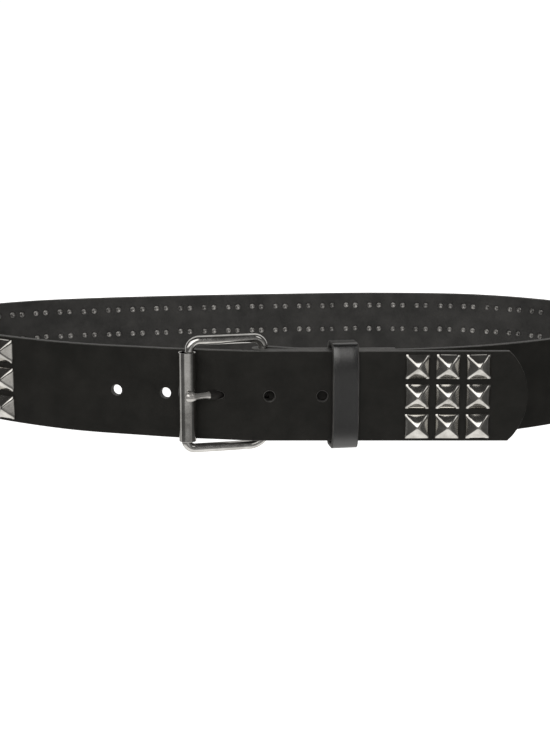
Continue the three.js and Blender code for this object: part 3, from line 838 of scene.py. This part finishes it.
def rivet_pieces(material):
    """Plain fold rivets with softly domed heads at the inner face."""
    head, shank = RIVET_HEAD_RADIUS, RIVET_SHANK_RADIUS
    front, back = LAYER + RIVET_HEAD_THICKNESS, 3 * LAYER
    profile = [(0.3, LAYER), (head, LAYER + 0.2), (head, front), (shank, front), (shank, back),
               (head, back), (head, back + 0.3), (0.8 * head, back + 0.7),
               (0.45 * head, back + 0.88), (0.05, back + 0.9)]
    sides = 28
    angle = 2 * math.pi * np.arange(sides) / sides
    for i, place in enumerate(RIVET_PLACES):
        rings = [np.column_stack([place + r * np.cos(angle), np.full(sides, depth),
                                  MID_HEIGHT + r * np.sin(angle)]) for r, depth in profile]
        piece = make(f"fold_rivet_head_{i + 1}", np.array(rings), loft_faces(len(profile), sides),
                     [material])
        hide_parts(f"fold_rivet_{i + 1}")


def floor_piece():
    """A wide pale floor, lit evenly as in the photograph, that leaves the object's light alone."""
    material, tree, shader = new_material("pale_floor")
    place = tree.nodes.new("ShaderNodeTexCoord").outputs["Object"]
    cloud = node(tree, "ShaderNodeTexNoise", Scale=3.0, Detail=2.0)
    tree.links.new(place, cloud.inputs["Vector"])
    colour = ramp(tree, cloud.outputs["Fac"], 0.3, 0.7, (0.84, 0.84, 0.84), (0.88, 0.88, 0.88))
    tree.links.new(colour, shader.inputs["Base Color"])
    shader.inputs["Roughness"].default_value = 0.85
    shader.inputs["Emission Color"].default_value = (1, 1, 1, 1)
    shader.inputs["Emission Strength"].default_value = BACKDROP
    size = 6.0
    mesh = bpy.data.meshes.new("floor")
    mesh.from_pydata([(-size, -size, 0), (size, -size, 0), (size, size, 0), (-size, size, 0)],
                     [], [(0, 1, 2, 3)])
    mesh.materials.append(material)
    floor = bpy.data.objects.new("floor", mesh)
    floor.visible_glossy = floor.visible_diffuse = floor.visible_shadow = False
    bpy.context.scene.collection.objects.link(floor)


def studio():
    """Soft light from all round: pale below and behind, dark sides, a soft window in front.

    A patch runs from, to and with a soft edge of so many degrees, first around, where 0 is the
    front and the right is positive, then above the horizon.
    """
    world = bpy.data.worlds.new("studio")
    bpy.context.scene.world = world
    world.use_nodes = True
    tree = world.node_tree

    def calculate(operation, first, second=0.0):
        made = tree.nodes.new("ShaderNodeMath")
        made.operation = operation
        for socket, value in zip(made.inputs, (first, second)):
            if isinstance(value, (int, float)):
                socket.default_value = value
            else:
                tree.links.new(value, socket)
        return made.outputs[0]

    def rise(value, low, high):
        made = tree.nodes.new("ShaderNodeMapRange")
        made.interpolation_type = "SMOOTHSTEP"
        made.inputs["From Min"].default_value = math.radians(low)
        made.inputs["From Max"].default_value = math.radians(high)
        tree.links.new(value, made.inputs["Value"])
        return made.outputs["Result"]

    def zone(value, low, high, soft):
        return calculate("MULTIPLY", rise(value, low - soft, low + soft),
                         calculate("SUBTRACT", 1.0, rise(value, high - soft, high + soft)))

    def patch(sideways, upright):
        return calculate("MULTIPLY", zone(around, *sideways), zone(above, *upright))

    split = tree.nodes.new("ShaderNodeSeparateXYZ")
    tree.links.new(tree.nodes.new("ShaderNodeTexCoord").outputs["Generated"], split.inputs[0])
    x, y, z = (split.outputs[k] for k in "XYZ")
    around = calculate("ARCTAN2", x, calculate("MULTIPLY", y, -1.0))
    turned = calculate("ABSOLUTE", around)
    above = calculate("ARCSINE", z)
    front = (-32, 41, 6)
    patches = [
        (GROUND, calculate("SUBTRACT", 1.0, rise(above, -46, -26))),
        (FRONT_LOW, patch(front, (-36, -10.6, 0.8))),
        (FRONT_STRIP, patch(front, (-10.6, -6, 0.8))),
        (FRONT_WIDE, patch((-75, 85, 25), (-36, 30, 10))),
        (RIGHT_LOW, patch((41, 60, 5), (-30, 8, 4))),
        (RIGHT_HIGH, patch((44, 62, 5), (24, 52, 4))),
        (LEFT_SIDE, patch((-114, -84, 4), (-30, 10, 6))),
        (RIGHT_SIDE, patch((92, 112, 4), (-30, 10, 6))),
        (BEHIND, calculate("MULTIPLY", rise(turned, 114, 126), zone(above, -35, 75, 8))),
        (WINDOW_EDGE, patch((-62, -26, 5), (12, 52, 4))),
        (WINDOW, patch((-26, 22, 5), (12, 52, 4))),
    ]
    strength = SURROUND
    for level, place in patches:
        strength = calculate("ADD", calculate("MULTIPLY", place, level), strength)
    surround = tree.nodes["Background"]
    surround.inputs["Color"].default_value = LIGHT_COLOUR
    tree.links.new(strength, surround.inputs["Strength"])
    pale = node(tree, "ShaderNodeBackground", Color=(1, 1, 1, 1), Strength=BACKDROP)
    seen = tree.nodes.new("ShaderNodeLightPath").outputs["Is Camera Ray"]
    mix = tree.nodes.new("ShaderNodeMixShader")
    tree.links.new(seen, mix.inputs["Fac"])
    tree.links.new(surround.outputs[0], mix.inputs[1])
    tree.links.new(pale.outputs[0], mix.inputs[2])
    tree.links.new(mix.outputs[0], tree.nodes["World Output"].inputs["Surface"])


def camera():
    lens = bpy.data.cameras.new("camera")
    lens.sensor_width = SENSOR
    lens.lens = FOCAL_PIXELS * SENSOR / PHOTO_HEIGHT
    lens.clip_start = 0.01
    made = bpy.data.objects.new("camera", lens)
    look = Matrix.Rotation(math.pi / 2 - CAMERA_DOWN, 4, "X")
    made.matrix_world = BELT @ Matrix.Translation(Vector(CAMERA_PLACE) * MM) @ look
    bpy.context.scene.collection.objects.link(made)
    bpy.context.scene.camera = made


outer = leather("leather_outer", dark=(0.0168, 0.0163, 0.0145), light=(0.0278, 0.0268, 0.024),
                rough=(0.45, 0.62), grain=1500, bump=0.35, sheen=0.2)
inner = leather("leather_inner", dark=(0.046, 0.0455, 0.0443), light=(0.08, 0.078, 0.0757),
                rough=(0.7, 0.88), grain=2200, bump=0.5, sheen=0.2)
# The cut edges' grey, far paler than the black faces, is a painted highlight for the light the
# edges catch
edge = leather("leather_edge_painted_highlight", dark=(0.058, 0.0575, 0.0556), light=(0.135, 0.132, 0.126),
               rough=(0.4, 0.62), grain=2600, bump=0.4, sheen=0.4)
band = keeper_leather()
stud_metal = metal("nickel_studs", dark=(0.55, 0.535, 0.505), light=(0.84, 0.825, 0.79),
                   rough=(0.06, 0.15))
wire_metal = metal("nickel_wire", dark=(0.56, 0.55, 0.53), light=(0.82, 0.81, 0.79),
                   rough=(0.08, 0.18))
post_metal = metal("nickel_posts", dark=(0.2, 0.195, 0.19), light=(0.46, 0.45, 0.435),
                   rough=(0.28, 0.48), scratch=0.15)
tongue_metal = metal("nickel_tongue", dark=(0.58, 0.565, 0.545), light=(0.82, 0.8, 0.775),
                     rough=(0.16, 0.28), metallic=0.65)
# Near-black metal that paints the shade on the tongue inside its hole and behind the strap
painted_shade_metal = metal("nickel_painted_shade", dark=(0.02, 0.018, 0.017), light=(0.05, 0.047, 0.044),
                   rough=(0.6, 0.8), metallic=0.4)

camera()
strap_piece([outer, inner, edge])
stud_pieces(stud_metal)
post_end_pieces(post_metal)
frame_piece(wire_metal)
roller_piece(wire_metal)
tongue_piece([tongue_metal, painted_shade_metal])
keeper_piece([band, inner, edge, outer])
rivet_pieces(post_metal)
floor_piece()
studio()
